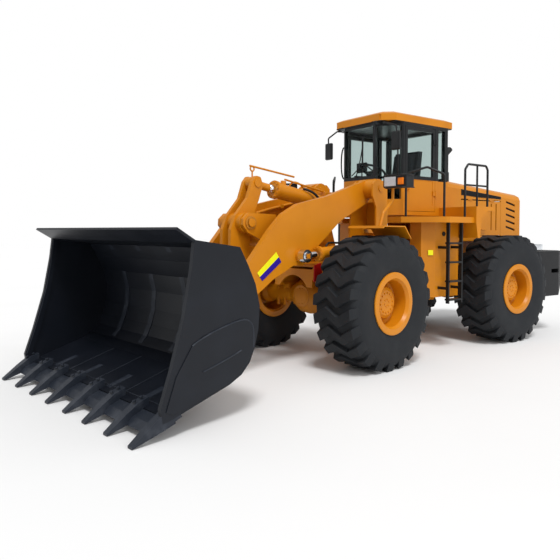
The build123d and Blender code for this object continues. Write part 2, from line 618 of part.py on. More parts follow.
def makeHood():
    outer = Solid.make_loft([hoodSection(hoodFront, hoodTopFront, 0), hoodSection(hoodRear, hoodTopRear, 0)], True)
    slope = (hoodTopFront - hoodTopRear) / (hoodFront - hoodRear)
    inner = Solid.make_loft([hoodSection(hoodFront - skin, hoodTopFront - slope * skin, skin),
                             hoodSection(hoodRear + skin, hoodTopRear + slope * skin, skin)], True)
    tools = [inner]
    tools.append(box(lidRear, lidFront, -hoodHalf - 50, hoodHalf + 50, lidLow, lidHigh))
    tools.append(box(hoodRear - 50, hoodRear + 60, -grilleHalf, grilleHalf, grilleLow, grilleHigh))
    for i in range(5):
        z = 1770 + i * 110
        slot = slabY([(-2760, z), (-2480, z + 60), (-2480, z + 96), (-2760, z + 36)], -hoodHalf - 50, hoodHalf + 50)
        tools.append(slot)
    tools.append(Solid.make_cylinder(exhaustRadius + fit, 400, Plane((exhaustX, exhaustY, lidHigh))))
    hinges = []
    for x in lidKnuckles:
        at = x + knuckleLength + fit
        hinges.append(join(box(at, at + 20, hoodHalf - 4, hoodHalf + 8, lidAxisZ + 1, lidHigh + 6),
                           rodAB((at, hoodHalf + 2, lidAxisZ), (at + 20, hoodHalf + 2, lidAxisZ), 4)))
    lugs = []
    for z in grilleKnuckles:
        low, high = z + knuckleLength + fit, z + knuckleLength + grilleLug
        arm = [(grilleAxisX - 9, grilleAxisY), (grilleAxisX - 9, grilleAxisY + 19), (hoodRear + 1, grilleHalf + 35),
               (hoodRear + 1, grilleHalf + 3), (grilleAxisX + 2, grilleAxisY + 9), (grilleAxisX + 2, grilleAxisY)]
        lugs.append(join(slabZ(arm, low, high), rodZ(grilleAxisX, grilleAxisY, 9, low, high)))
    return join(cut(outer, tools), both(hinges[0]), both(hinges[1]), lugs)


def makeLids():
    out = []
    for side in (1, -1):
        panel = box(lidRear + gap, lidFront - gap, hoodHalf - doorSkin, hoodHalf, lidLow + gap, lidHigh - gap - 14)
        slots = [box(x, x + 30, hoodHalf - 60, hoodHalf + 20, 1780, 2240) for x in (-2060, -2200)]
        knuckles = [Solid.make_cylinder(11, knuckleLength, Plane(origin=(x, hoodHalf + 2, lidAxisZ), z_dir=(1, 0, 0)))
                    for x in lidKnuckles]
        grip = tube([(-1840, hoodHalf - 4, 1790), (-1840, hoodHalf + 34, 1790), (-1740, hoodHalf + 34, 1790),
                     (-1740, hoodHalf - 4, 1790)], 8, 14)
        lid = join(cut(panel, slots), knuckles, grip)
        out.append(lid if side > 0 else lid.mirror(Plane.XZ))
    return out


def makeGrilleDoor():
    x0 = hoodRear - 22
    frame = cut(box(x0, hoodRear + 8, -grilleHalf + gap, grilleHalf - gap, grilleLow + gap, grilleHigh - gap),
                box(x0 - 10, hoodRear + 40, -grilleHalf + 56, grilleHalf - 56, grilleLow + 56, grilleHigh - 56))
    bars = []
    for i in range(11):
        z = grilleLow + 84 + i * (grilleHigh - grilleLow - 168) / 10
        bars.append(box(x0 + 4, hoodRear, -grilleHalf + 50, grilleHalf - 50, z - 9, z + 9))
    mid = box(x0 + 2, hoodRear + 4, -14, 14, grilleLow + 50, grilleHigh - 50)
    knuckles = [rodZ(grilleAxisX, grilleAxisY, 11, z, z + knuckleLength) for z in grilleKnuckles]
    notches = [rodZ(grilleAxisX, grilleAxisY, 15, z + knuckleLength, z + knuckleLength + grilleLug + gap)
               for z in grilleKnuckles]
    return join(cut(frame, notches), bars, mid, knuckles)


def makeEngine():
    block = box(-2250, -1230, -330, 330, tyreRadius + axleBall + 12, engineTop)
    feet = both(box(-1500, -1400, 320, beamHalf - beamPlate, 1200, 1320))
    return join(block, feet)


def makeExhaust():
    lower = Solid.make_cylinder(exhaustRadius, 690, Plane((exhaustX, exhaustY, engineTop)))
    pipe = tube([(exhaustX, exhaustY, 2740), (exhaustX, exhaustY, 3060), (exhaustX - 110, exhaustY, 3150)], 46, 60)
    return join(lower, pipe)


def makeWeight():
    plan = [(-2560, 1180), (-3180, 1200), (-3380, 1130), (weightRear, 960), (weightRear, -960), (-3380, -1130),
            (-3180, -1200), (-2560, -1180)]
    body = slabZ(plan, weightLow, weightTop)
    profile = slabY([(-2540, weightTop), (weightRear, weightTop), (weightRear, 1010), (-3210, weightLow),
                     (-2800, weightLow), (-2540, 900)], -1300, 1300)
    body = body & profile
    head = slabY([(-2950, weightTop - 1), (-2950, rearDeck - 2), (-3300, rearDeck - 2), (-3400, weightTop - 1)], -560, 560)
    pocket = box(weightRear - 10, -3390, -130, 130, 1020, 1160)
    slots = both(slabY([(-2960, 1040), (-3180, 1040), (-3180, 1110), (-2960, 1110)], 900, 1300))
    core = box(hoodRear - 1, -2500, -beamHalf - fit, beamHalf + fit, beamLow - fit, weightTop + 10)
    axleRoom = Solid.make_cylinder(400, 900, Plane(origin=(-1900, -450, tyreRadius), z_dir=(0, 1, 0)))
    return cut(join(body, head), pocket, slots, core, rodZ(-3480, 0, 26, 500, 1700))


def cabPlan(grow):
    c = cabCorner
    return [(cabRear - grow, -cabHalf - grow), (c + grow * 0.4, -cabHalf - grow), (cabFront + grow, -cabNose - grow * 0.4),
            (cabFront + grow, cabNose + grow * 0.4), (c + grow * 0.4, cabHalf + grow), (cabRear - grow, cabHalf + grow)]


def makeCab():
    shell = cut(slabZ(cabPlan(0), cabFloor, cabEave), slabZ(cabPlan(-cabWall), cabFloor + 40, cabEave + 10))
    top, low = cabEave - 60, cabSill
    tools = [box(cabFront - 90, cabFront + 60, -cabNose + 30, cabNose - 30, low, top)]
    # slanted corner panes
    corner = slabZ([(cabFront - 30, cabNose + 10), (cabFront + 60, cabNose + 70), (cabCorner + 90, cabHalf + 70),
                    (cabCorner + 24, cabHalf - 20), (cabCorner - 20, cabHalf - 120), (cabFront - 110, cabNose - 20)],
                   low - 360, top)
    tools += both(corner)
    tools += both(box(doorRear, doorFront, cabHalf - 100, cabHalf + 60, cabFloor + 60, top + 10))
    tools += both(box(cabRear + 70, doorRear - 70, cabHalf - 100, cabHalf + 60, low - 60, top))
    tools.append(box(cabRear - 60, cabRear + 90, -cabHalf + 80, cabHalf - 80, low, top))
    return cut(shell, tools)


def makeRoof():
    plan = slabZ([(cabRear - roofOverhang, -cabHalf), (roofFront - 180, -cabHalf), (roofFront, -cabHalf + 160),
                  (roofFront, cabHalf - 160), (roofFront - 180, cabHalf), (cabRear - roofOverhang, cabHalf)],
                 cabEave, cabTop)
    roof = plan.chamfer(40, 90, plan.faces().sort_by(Axis.Z)[-1].edges())
    lamps = both(box(roofFront - 12, roofFront + 20, 470, 620, cabEave + 14, cabEave + 84))
    return cut(join(roof), lamps)


def makeRoofLamps():
    return both(box(cabFront + gap, cabFront + gap + 40, cabNose - 20, cabNose + 80, cabEave - 62, cabEave - fit))


def makeGlass(cab):
    ring = cut(slabZ(cabPlan(-18), cabFloor + 160, cabEave - 10), slabZ(cabPlan(-27), cabFloor, cabEave))
    keep = cut(ring, both(box(doorRear - 10, doorFront + 10, cabHalf - 120, cabHalf + 60, cabFloor, cabEave)))
    return cut(keep, cab)


def makeDoor():
    g = gap
    x0, x1 = doorRear + g, doorFront - g
    z0, z1 = cabFloor + 60 + g, cabEave - 50 - g
    frame = box(x0, x1, cabHalf - 42, cabHalf, z0, z1)
    window = box(x0 + 52, x1 - 52, cabHalf - 100, cabHalf + 50, z0 + 90, z1 - 56)
    bar = box(x0 + 40, x1 - 40, cabHalf - 42, cabHalf, cabSill - 60, cabSill)
    knuckles = [rodZ(doorRear, cabHalf + 13, 12, z, z + 90) for z in doorKnuckles]
    leaves = [box(doorRear, doorRear + 60, cabHalf - 2, cabHalf + 14, z + 10, z + 80) for z in doorKnuckles]
    grip = tube([(130, cabHalf - 6, 2380), (130, cabHalf + 36, 2380), (130, cabHalf + 36, 2520), (130, cabHalf - 6, 2520)],
                9, 14)
    frame = join(cut(frame, window), bar, knuckles, leaves, grip)
    panes = cut(box(x0 + 52, x1 - 52, cabHalf - 27, cabHalf - 18, z0 + 90, z1 - 56), bar)
    return frame, panes


def makeFixedSide(doorFrame):
    # the right side carries the same framed window, fixed into the cab
    panel = doorFrame.mirror(Plane.XZ)
    rim = cut(box(doorRear - 4, doorFront + 4, -cabHalf, -cabHalf + 42, cabFloor + 56, cabEave - 44),
              box(doorRear + 10, doorFront - 10, -cabHalf - 50, -cabHalf + 90, cabFloor + 70, cabEave - 60))
    return join(panel, rim)


def makeSeat():
    base = box(-420, -120, -200, 200, cabFloor + 40, cabFloor + 330)
    seat = slabY([(-500, 2330), (-60, 2330), (-20, 2380), (-60, 2450), (-420, 2440), (-560, 3060), (-650, 3060),
                  (-600, 2600), (-560, 2330)], -250, 250)
    return join(base, seat)


def makeConsole():
    column = slabY([(330, cabFloor + 40), (420, cabFloor + 40), (380, 2500), (250, 2690), (200, 2670), (290, 2480)],
                   -70, 70)
    wheel = turned([(178, -12), (205, -12), (205, 12), (178, 12)], (0, 0, 0), (0, 0, 1))
    spokes = [Solid.make_cylinder(10, 385, Plane(origin=(-192, 0, 0), z_dir=(1, 0, 0))).rotate(Axis.Z, a)
              for a in (0, 90)]
    rim = join(wheel, spokes).rotate(Axis.Y, -28).moved(Location((208, 0, 2705)))
    side = box(-420, 60, -480, -330, cabFloor + 40, 2520)
    dash = slabZ([(340, -cabNose + 40), (452, -250), (452, 250), (340, cabNose - 40)], 2330, 2560)
    stub = rodAB((240, 0, 2645), (208, 0, 2705), 16)
    return join(column, rim, dash, stub), side


def makePlatform():
    plan = [(cabRear, cabHalf), (cabCorner, cabHalf), (400, cabHalf - 130), (400, 770), (160, 1080),
            (0, deckOuter - 30), (-40, deckOuter), (-600, deckOuter), (cabRear, deckOuter)]
    deck = slabZ(plan, deckLow, deckTop)
    rear = slabY([(-600, deckLow), (-600, fenderTop), (fenderRear, fenderTop),
                  (fenderRear, fenderTop - 60), (-880, fenderTop - 60), (-720, 1960), (-700, 1660), (-640, 1660)],
                 cabHalf, deckOuter + 40)
    return both(join(deck, rear))


def makeTanks():
    plan = [(-598, tankInner), (-598, tankOuter), (-60, tankOuter), (110, 900), (110, tankInner)]
    return slabZ(plan, tankLow, deckLow - fit)


def makeLadder():
    stiles = [slabY([(x, 700), (x + 26, 700), (x + 26, deckLow), (x, deckLow)], tankOuter + 150, tankOuter + 200)
              for x in (-150, -450)]
    rungs = [box(-440, -140, tankOuter + 120, tankOuter + 210, z, z + 26) for z in (740, 1010, 1290, 1570)]
    hangers = [box(x, x + 26, tankOuter, tankOuter + 160, z, z + 40) for x in (-150, -450) for z in (900, 1500)]
    return both(join(stiles, rungs, hangers))


def makeRails():
    r = 17
    front = tube([(345, 810, deckTop), (345, 810, 2600), (130, 1020, 2690), (-15, 1215, 2580), (-15, 1215, deckTop)], r, 60)
    rear = tube([(-470, 1230, deckTop), (-470, 1230, 2680), (-540, 1230, 2760), (-980, 1230, 2760), (-1020, 1230, 2700),
                 (-1020, 1230, fenderTop)], r, 50)
    mid = rodAB((-470, 1230, 2450), (-1020, 1230, 2450), 14)
    post = rodAB((-760, 1230, fenderTop), (-760, 1230, 2758), 15)
    return both(front), both(join(rear, mid, post))


def makeMirrors():
    arm = tube([(437.5, 432.3, cabEave - 30), (521, 517, cabEave - 30), (505, 760, cabEave - 110), (495, 760, cabEave - 260)], 12, 40)
    head = box(478, 512, 690, 830, cabEave - 440, cabEave - 200)
    return both(join(arm, head))


def makeRearLamps():
    return both(box(weightRear + 158, weightRear + 210, 600, 760, weightTop, weightTop + 110))


front = {}
rear = {}

tyre, rimShape = makeTyre(), makeRim()
for name, x, side, group in (("front_left", wheelBase / 2, 1, front), ("front_right", wheelBase / 2, -1, front),
                             ("rear_left", -wheelBase / 2, 1, rear), ("rear_right", -wheelBase / 2, -1, rear)):
    group["tyre_" + name] = placeWheel(tyre, x, side)
    group["rim_" + name] = placeWheel(rimShape, x, side)

front["front_axle"] = join(makeAxle(wheelBase / 2), makeShaft(1))
front["front_frame"] = join(makeFrontFrame(), makeFrontPins())
lampArms, front["headlamp_lenses"] = makeFrontLamps()
front["front_fenders"] = join(makeFrontFender(), lampArms)
front["boom"] = makeBoom()
front["lift_barrels"] = both(cylinderBarrel((liftBaseX, liftBaseZ), (liftEyeX, liftEyeZ), liftMid, liftBore, 46, 1130))
front["lift_rods"] = makeLiftRods()
front["bellcrank"] = makeBellcrank()
front["bellcrank_pin"] = makeBellPin()
front["link"] = makeLink()
front["link_pin"] = makeLinkPin()
front["tilt_barrel"] = cylinderBarrel((tiltBaseX, tiltBaseZ), (bellTopX, bellTopZ), 0, tiltBore, bellGap, 1330)
front["tilt_rod"] = cylinderRod((tiltBaseX, tiltBaseZ), (bellTopX, bellTopZ), 0, tiltBore, tiltRod, bellGap - 0.5, 1080)
front["tilt_pin"] = pinAt(tiltBaseX, tiltBaseZ, bellGap + 56)
front["bucket"] = makeBucket()
front["bucket_edge"] = makeEdge(front["bucket"])
front["bucket_pins"] = makeBucketPins()
for name, side in (("left", 1), ("right", -1)):
    rear["steer_barrel_" + name] = makeSteerBarrel(side)
    rear["steer_rod_" + name] = makeSteerRod(side)
rear["rear_frame"] = makeRearFrame()
rear["rear_axle"] = join(makeAxle(-wheelBase / 2), makeShaft(-1))
rear["engine_block"] = makeEngine()
rear["hood"] = makeHood()
rear["lid_left"], rear["lid_right"] = makeLids()
rear["grille_door"] = makeGrilleDoor()
rear["exhaust"] = makeExhaust()
rear["counterweight"] = makeWeight()
doorFrame, doorPane = makeDoor()
rear["cab"] = join(makeCab(), makeFixedSide(doorFrame))
rear["roof"] = makeRoof()
rear["cab_glass"] = makeGlass(rear["cab"])
rear["door_left"], rear["door_glass_left"] = doorFrame, doorPane
rear["cab_glass"] = join(rear["cab_glass"], doorPane.mirror(Plane.XZ))
rear["seat"] = makeSeat()
rear["consoles"] = list(makeConsole())
rear["platforms"] = makePlatform()
rear["tanks"] = both(makeTanks())
rear["ladders"] = makeLadder()
frontRails, rearRails = makeRails()
rear["handrails"] = frontRails + rearRails
rear["mirrors"] = makeMirrors()
rear["lamps"] = makeRearLamps() + makeRoofLamps()


def asShape(s):
    if isinstance(s, (list, tuple, ShapeList)):
        solids = []
        for one in s:
            solids += one.solids()
        return Compound(solids)
    return s


turn = Axis((0, 0, 0), (0, 0, 1))
nodes = {name: asShape(s).rotate(turn, restSteer) for name, s in front.items()}
nodes.update({name: asShape(s) for name, s in rear.items()})

boxes = [s.bounding_box() for s in nodes.values()]
midX = (min(b.min.X for b in boxes) + max(b.max.X for b in boxes)) / 2
midY = (min(b.min.Y for b in boxes) + max(b.max.Y for b in boxes)) / 2
low = min(b.min.Z for b in boxes)
print("shift", -midX, -midY, -low)
for name, s in nodes.items():
    export_step(s.moved(Location((-midX, -midY, -low))), "parts/" + name + ".step")
print("nodes", len(nodes))
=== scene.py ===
import json
import math
import bmesh
import bpy
from mathutils import Matrix, Vector


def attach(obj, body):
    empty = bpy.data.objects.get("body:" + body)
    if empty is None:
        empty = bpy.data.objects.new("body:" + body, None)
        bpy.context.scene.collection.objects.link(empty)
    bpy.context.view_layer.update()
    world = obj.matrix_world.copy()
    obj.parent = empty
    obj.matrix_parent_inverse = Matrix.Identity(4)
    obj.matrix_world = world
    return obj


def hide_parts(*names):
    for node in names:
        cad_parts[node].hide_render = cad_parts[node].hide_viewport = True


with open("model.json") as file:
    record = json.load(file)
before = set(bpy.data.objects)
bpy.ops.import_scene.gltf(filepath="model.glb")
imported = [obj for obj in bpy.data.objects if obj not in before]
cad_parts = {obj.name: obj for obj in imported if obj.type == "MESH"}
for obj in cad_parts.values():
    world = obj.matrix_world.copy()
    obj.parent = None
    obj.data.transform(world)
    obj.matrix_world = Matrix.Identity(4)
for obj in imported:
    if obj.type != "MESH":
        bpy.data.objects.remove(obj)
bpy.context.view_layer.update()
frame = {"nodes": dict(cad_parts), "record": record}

nodes = frame["nodes"]

# The two halves meet at the steering hinge; pieces below are given from its foot, in metres
joints = {joint["name"]: joint for joint in frame["record"]["behaviour"]["joints"]}
hinge = Vector((joints["steer"]["pos_m"][0], joints["steer"]["pos_m"][1], 0))
restSteer = math.atan2(joints["lift"]["axis"][0], -joints["lift"]["axis"][1])


def rear(point):
    return hinge + Vector(point)


def front(point):
    return hinge + Matrix.Rotation(restSteer, 3, "Z") @ Vector(point)


# Colours are written as they look on screen, 0 to 255
def colour(r, g, b):
    def linear(v):
        v = v / 255
        return v / 12.92 if v <= 0.04045 else ((v + 0.055) / 1.055) ** 2.4
    return (linear(r), linear(g), linear(b), 1.0)


def finishOf(base, worn, rough, scale, bump):
    return {"base": colour(*base), "worn": colour(*worn), "rough": rough, "scale": scale, "bump": bump}


# Materials: a base colour, a worn one in cloudy patches, fine grain as bump
finishes = {
    "bodyPaint": finishOf((202, 126, 14), (184, 110, 12), rough=0.34, scale=2.5, bump=0.03),
    "bucketPaint": finishOf((14, 18, 26), (24, 29, 38), rough=0.4, scale=3.0, bump=0.06),
    "edgeSteel": finishOf((34, 39, 48), (70, 74, 82), rough=0.42, scale=8.0, bump=0.15),
    "rubber": finishOf((26, 29, 33), (44, 46, 48), rough=0.68, scale=5.0, bump=0.2),
    "cabBlack": finishOf((22, 24, 26), (38, 40, 42), rough=0.35, scale=6.0, bump=0.02),
    "castBlack": finishOf((26, 27, 29), (44, 44, 46), rough=0.55, scale=5.0, bump=0.2),
    "plastic": finishOf((34, 36, 38), (48, 50, 52), rough=0.55, scale=12.0, bump=0.1),
    "hoseBlack": finishOf((18, 18, 19), (34, 34, 35), rough=0.5, scale=30.0, bump=0.1),
    "fabric": finishOf((48, 50, 55), (66, 68, 72), rough=0.9, scale=60.0, bump=0.3),
    "pinSteel": finishOf((196, 134, 46), (140, 110, 66), rough=0.4, scale=14.0, bump=0.1),
    "redPaint": finishOf((176, 16, 18), (140, 14, 16), rough=0.4, scale=8.0, bump=0.02),
    "signYellow": finishOf((240, 236, 20), (222, 214, 24), rough=0.45, scale=8.0, bump=0.01),
    "signBlue": finishOf((40, 12, 140), (46, 22, 130), rough=0.45, scale=8.0, bump=0.01),
    "stripeRed": finishOf((190, 24, 22), (170, 30, 28), rough=0.3, scale=20.0, bump=0.05),
    "stripeWhite": finishOf((226, 226, 222), (208, 208, 204), rough=0.3, scale=20.0, bump=0.05),
    "amber": finishOf((232, 120, 14), (214, 100, 10), rough=0.2, scale=20.0, bump=0.05),
    "lampFace": finishOf((214, 220, 226), (176, 184, 192), rough=0.2, scale=40.0, bump=0.4),
    "chrome": finishOf((226, 229, 233), (196, 198, 202), rough=0.1, scale=20.0, bump=0.01),
}
metals = {"chrome": 1.0, "pinSteel": 0.4, "lampFace": 0.6}
dullShine = 0.3
wear = {"from": 0.48, "to": 0.8, "most": 0.6, "detail": 8}
grainLook = {"finer": 40, "glossier": 0.08, "duller": 0.12, "depth": 0.004}
glassLook = {"smear": 4, "spread": 0.04, "bend": 1.15}


def linkAll(tree, pairs):
    for source, target in pairs:
        tree.links.new(source, target)


def newMaterial(name):
    mat = bpy.data.materials.new(name)
    mat.use_nodes = True
    tree = mat.node_tree
    return mat, tree, tree.nodes["Principled BSDF"], tree.nodes.new("ShaderNodeTexCoord")


def cloudColour(tree, place, values):
    # the base colour with its worn patches, and the noise that makes them
    cloud = tree.nodes.new("ShaderNodeTexNoise")
    ramp = tree.nodes.new("ShaderNodeMapRange")
    blend = tree.nodes.new("ShaderNodeMix")
    cloud.inputs["Scale"].default_value = values["scale"]
    cloud.inputs["Detail"].default_value = wear["detail"]
    ramp.inputs["From Min"].default_value = wear["from"]
    ramp.inputs["From Max"].default_value = wear["to"]
    ramp.inputs["To Max"].default_value = wear["most"]
    blend.data_type = "RGBA"
    blend.inputs["A"].default_value = values["base"]
    blend.inputs["B"].default_value = values["worn"]
    linkAll(tree, [(place.outputs["Object"], cloud.inputs["Vector"]),
                   (cloud.outputs["Fac"], ramp.inputs["Value"]),
                   (ramp.outputs["Result"], blend.inputs["Factor"])])
    return cloud, blend


def makeFinish(name, values, metal=0.0):
    mat, tree, shader, place = newMaterial(name)
    cloud, blend = cloudColour(tree, place, values)
    grain = tree.nodes.new("ShaderNodeTexNoise")
    gloss = tree.nodes.new("ShaderNodeMapRange")
    bump = tree.nodes.new("ShaderNodeBump")
    grain.inputs["Scale"].default_value = values["scale"] * grainLook["finer"]
    gloss.inputs["To Min"].default_value = values["rough"] - grainLook["glossier"]
    gloss.inputs["To Max"].default_value = values["rough"] + grainLook["duller"]
    bump.inputs["Strength"].default_value = values["bump"]
    bump.inputs["Distance"].default_value = grainLook["depth"]
    shader.inputs["Metallic"].default_value = metal
    shader.inputs["Specular IOR Level"].default_value = dullShine
    linkAll(tree, [(place.outputs["Object"], grain.inputs["Vector"]),
                   (blend.outputs["Result"], shader.inputs["Base Color"]),
                   (cloud.outputs["Fac"], gloss.inputs["Value"]),
                   (gloss.outputs["Result"], shader.inputs["Roughness"]),
                   (grain.outputs["Fac"], bump.inputs["Height"]),
                   (bump.outputs["Normal"], shader.inputs["Normal"])])
    return mat


looks = {name: makeFinish(name, values, metals.get(name, 0.0)) for name, values in finishes.items()}


def makeGlass(name, tint, rough):
    mat, tree, shader, place = newMaterial(name)
    smear = tree.nodes.new("ShaderNodeTexNoise")
    gloss = tree.nodes.new("ShaderNodeMapRange")
    smear.inputs["Scale"].default_value = glassLook["smear"]
    gloss.inputs["To Min"].default_value = rough
    gloss.inputs["To Max"].default_value = rough + glassLook["spread"]
    shader.inputs["Base Color"].default_value = tint
    shader.inputs["Transmission Weight"].default_value = 1.0
    shader.inputs["IOR"].default_value = glassLook["bend"]
    linkAll(tree, [(place.outputs["Object"], smear.inputs["Vector"]),
                   (smear.outputs["Fac"], gloss.inputs["Value"]),
                   (gloss.outputs["Result"], shader.inputs["Roughness"])])
    return mat


looks["glass"] = makeGlass("glass", colour(232, 244, 242), 0.0)
looks["lens"] = makeGlass("lens", colour(238, 242, 246), 0.1)


def makeTwoTone(name, low, high, height):
    # one finish below a height in the row frame and another above it
    mat = makeFinish(name, finishes[low])
    tree = mat.node_tree
    shader = tree.nodes["Principled BSDF"]
    place = tree.nodes["Texture Coordinate"]
    lower = shader.inputs["Base Color"].links[0].from_socket
    above = cloudColour(tree, place, finishes[high])[1]
    split = tree.nodes.new("ShaderNodeSeparateXYZ")
    level = tree.nodes.new("ShaderNodeMath")
    pick = tree.nodes.new("ShaderNodeMix")
    level.operation = "GREATER_THAN"
    level.inputs[1].default_value = height
    pick.data_type = "RGBA"
    linkAll(tree, [(place.outputs["Object"], split.inputs["Vector"]), (split.outputs["Z"], level.inputs[0]),
                   (level.outputs["Value"], pick.inputs["Factor"]), (lower, pick.inputs["A"]),
                   (above.outputs["Result"], pick.inputs["B"]), (pick.outputs["Result"], shader.inputs["Base Color"])])
    return mat


cabSill, lampFoot = 2.545, 2.335
looks["cabTwoTone"] = makeTwoTone("cabTwoTone", "bodyPaint", "cabBlack", cabSill)
looks["fenderTwoTone"] = makeTwoTone("fenderTwoTone", "bodyPaint", "cabBlack", lampFoot)

nodeLooks = {
    "rubber": ["tyre_front_left", "tyre_front_right", "tyre_rear_left", "tyre_rear_right"],
    "bucketPaint": ["bucket"],
    "edgeSteel": ["bucket_edge"],
    "chrome": ["lift_rods", "steer_rod_left", "steer_rod_right"],
    "pinSteel": ["bellcrank_pin", "link_pin", "tilt_pin", "bucket_pins"],
    "cabBlack": ["handrails", "mirrors", "ladders", "grille_door"],
    "cabTwoTone": ["cab", "door_left"],
    "fenderTwoTone": ["front_fenders"],
    "castBlack": ["counterweight", "exhaust", "engine_block"],
    "plastic": ["consoles"],
    "fabric": ["seat"],
    "glass": ["cab_glass", "door_glass_left"],
    "lens": ["headlamp_lenses", "lamps"],
}
lookOf = {node: look for look, group in nodeLooks.items() for node in group}
for name, obj in nodes.items():
    obj.data.materials.clear()
    obj.data.materials.append(looks[lookOf.get(name, "bodyPaint")])
print("stage: materials")


# Mesh parts: each is (points, faces), in the half's own frame
def boxPart(low, high):
    points = [(x, y, z) for x in (low[0], high[0]) for y in (low[1], high[1]) for z in (low[2], high[2])]
    return points, [(0, 1, 3, 2), (4, 6, 7, 5), (0, 4, 5, 1), (2, 3, 7, 6), (0, 2, 6, 4), (1, 5, 7, 3)]


def platePart(corners, thick):
    # flat plate from its outer corners, with its thickness behind them
    a, b, c = (Vector(p) for p in corners[:3])
    back = (b - a).cross(c - a).normalized() * thick
    points = [tuple(p) for p in corners] + [tuple(Vector(p) - back) for p in corners]
    n = len(corners)
    sides = [(i, (i + 1) % n, n + (i + 1) % n, n + i) for i in range(n)]
    return points, [tuple(range(n)), tuple(range(2 * n - 1, n - 1, -1))] + sides


def circle(centre, axis, radius, count):
    # evenly spaced places round an axis
    along = Vector(axis).normalized()
    across = along.orthogonal().normalized()
    other = along.cross(across)
    angles = [2 * math.pi * i / count for i in range(count)]
    return [Vector(centre) + (across * math.cos(a) + other * math.sin(a)) * radius for a in angles]


def discPart(centre, axis, radius, length, around=16):
    far = Vector(centre) + Vector(axis).normalized() * length
    points = [tuple(spot) for end in (centre, far) for spot in circle(end, axis, radius, around)]
    rings = [(i, (i + 1) % around, around + (i + 1) % around, around + i) for i in range(around)]
    return points, rings + [tuple(range(around))[::-1], tuple(range(around, 2 * around))]


boltCorners = 6


def boltRing(centre, axis, ringRadius, boltRadius, height, count):
    return [discPart(spot, axis, boltRadius, height, boltCorners) for spot in circle(centre, axis, ringRadius, count)]


def sideBox(side, x, y, z):
    # box given for the left side, mirrored for the right one
    low, high = sorted((side * y[0], side * y[1]))
    return boxPart((x[0], low, z[0]), (x[1], high, z[1]))


def sidePlate(side, outline, y, thick):
    # plate in x and z, with its thickness towards the middle of the machine
    corners = [(x, side * y, z) for x, z in outline]
    return platePart(corners[::-1] if side > 0 else corners, thick)


def addPiece(name, parts, place, look, body, bevel=0.0, smooth=False):
    points, faces = [], []
    for partPoints, partFaces in parts:
        faces += [tuple(len(points) + i for i in face) for face in partFaces]
        points += [place(p) for p in partPoints]
    mesh = bpy.data.meshes.new(name)
    mesh.from_pydata(points, [], faces)
    shape = bmesh.new()
    shape.from_mesh(mesh)
    bmesh.ops.recalc_face_normals(shape, faces=shape.faces)
    shape.to_mesh(mesh)
    shape.free()
    obj = bpy.data.objects.new(name, mesh)
    bpy.context.collection.objects.link(obj)
    mesh.materials.append(looks[look])
    if smooth:
        for face in mesh.polygons:
            face.use_smooth = True
    if bevel:
        edge = obj.modifiers.new("edge", "BEVEL")
        edge.width, edge.segments = bevel, 2
    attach(obj, body)
    return obj


def addTube(name, runs, radius, place, look, body):
    # one curve object of round tubes, each through its own points
    curve = bpy.data.curves.new(name, "CURVE")
    curve.dimensions = "3D"
    curve.bevel_depth = radius
    curve.bevel_resolution = 3
    curve.use_fill_caps = True
    for points in runs:
        line = curve.splines.new("NURBS")
        line.points.add(len(points) - 1)
        for spot, point in zip(line.points, points):
            spot.co = (*place(point), 1)
        line.order_u = 3
        line.use_endpoint_u = True
        line.resolution_u = 6
    obj = bpy.data.objects.new(name, curve)
    bpy.context.collection.objects.link(obj)
    curve.materials.append(looks[look])
    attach(obj, body)
    return obj


# Tyres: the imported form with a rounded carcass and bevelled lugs
bothSides = (("left", 1), ("right", -1))
tyre = {"radius": 0.850, "around": 132, "lugs": 22, "lugHalf": 0.066, "edge": 0.007, "draft": 0.008,
        "sunk": 0.006, "least": 0.004, "shoulder": 0.286, "shoulderWide": 0.038, "fall": 0.108, "curve": 1.3}
hubBolts = {"face": 0.190, "outer": (0.125, 0.011, 0.012, 14), "inner": (0.045, 0.008, 0.01, 6)}
carcass = [(0.318, 0.2955), (0.400, 0.2955), (0.424, 0.300), (0.440, 0.309), (0.462, 0.311), (0.520, 0.325),
           (0.600, 0.335), (0.663, 0.336), (0.710, 0.331), (0.752, 0.312), (0.784, 0.283), (0.806, 0.248)]
shoulder = [(y, r) for r, y in reversed(carcass[-4:])]
halfZigzag = [(-0.324, 0.070), (-0.305, 0.062), (-0.286, 0.054), (-0.190, 0.006), (-0.098, -0.053),
              (-0.080, -0.053)]
zigzag = halfZigzag + [(-y, -shift) for y, shift in reversed(halfZigzag)]


def crownAt(y):
    # height of the lug tops across the tread, falling at the shoulders
    beyond = max(0.0, abs(y) - tyre["shoulder"]) / tyre["shoulderWide"]
    return tyre["radius"] - beyond ** tyre["curve"] * tyre["fall"]


def carcassAt(y):
    if abs(y) <= shoulder[0][0]:
        return shoulder[0][1]
    for (y0, r0), (y1, r1) in zip(shoulder, shoulder[1:]):
        if abs(y) <= y1:
            return r0 + (r1 - r0) * (abs(y) - y0) / (y1 - y0)
    return shoulder[-1][1]


def rolled(radius, y, angle):
    return (radius * math.sin(angle), y, radius * math.cos(angle))


def lugPart(turn, side):
    half, edge, draft = tyre["lugHalf"], tyre["edge"], tyre["draft"]
    points = []
    for y, shift in zigzag:
        foot = carcassAt(y) - tyre["sunk"]
        top = max(crownAt(y), foot + tyre["least"])
        section = [(-half - draft, foot), (-half, top - edge), (-half + edge, top)]
        section += [(-dx, r) for dx, r in reversed(section)]
        points += [rolled(r, y * side, turn + (dx + shift) / tyre["radius"]) for dx, r in section]
    steps, wide = len(zigzag), len(section)
    faces = [(i * wide + j, i * wide + j + 1, (i + 1) * wide + j + 1, (i + 1) * wide + j)
             for i in range(steps - 1) for j in range(wide - 1)]
    return points, faces + [tuple(range(wide)), tuple(range((steps - 1) * wide, steps * wide))[::-1]]


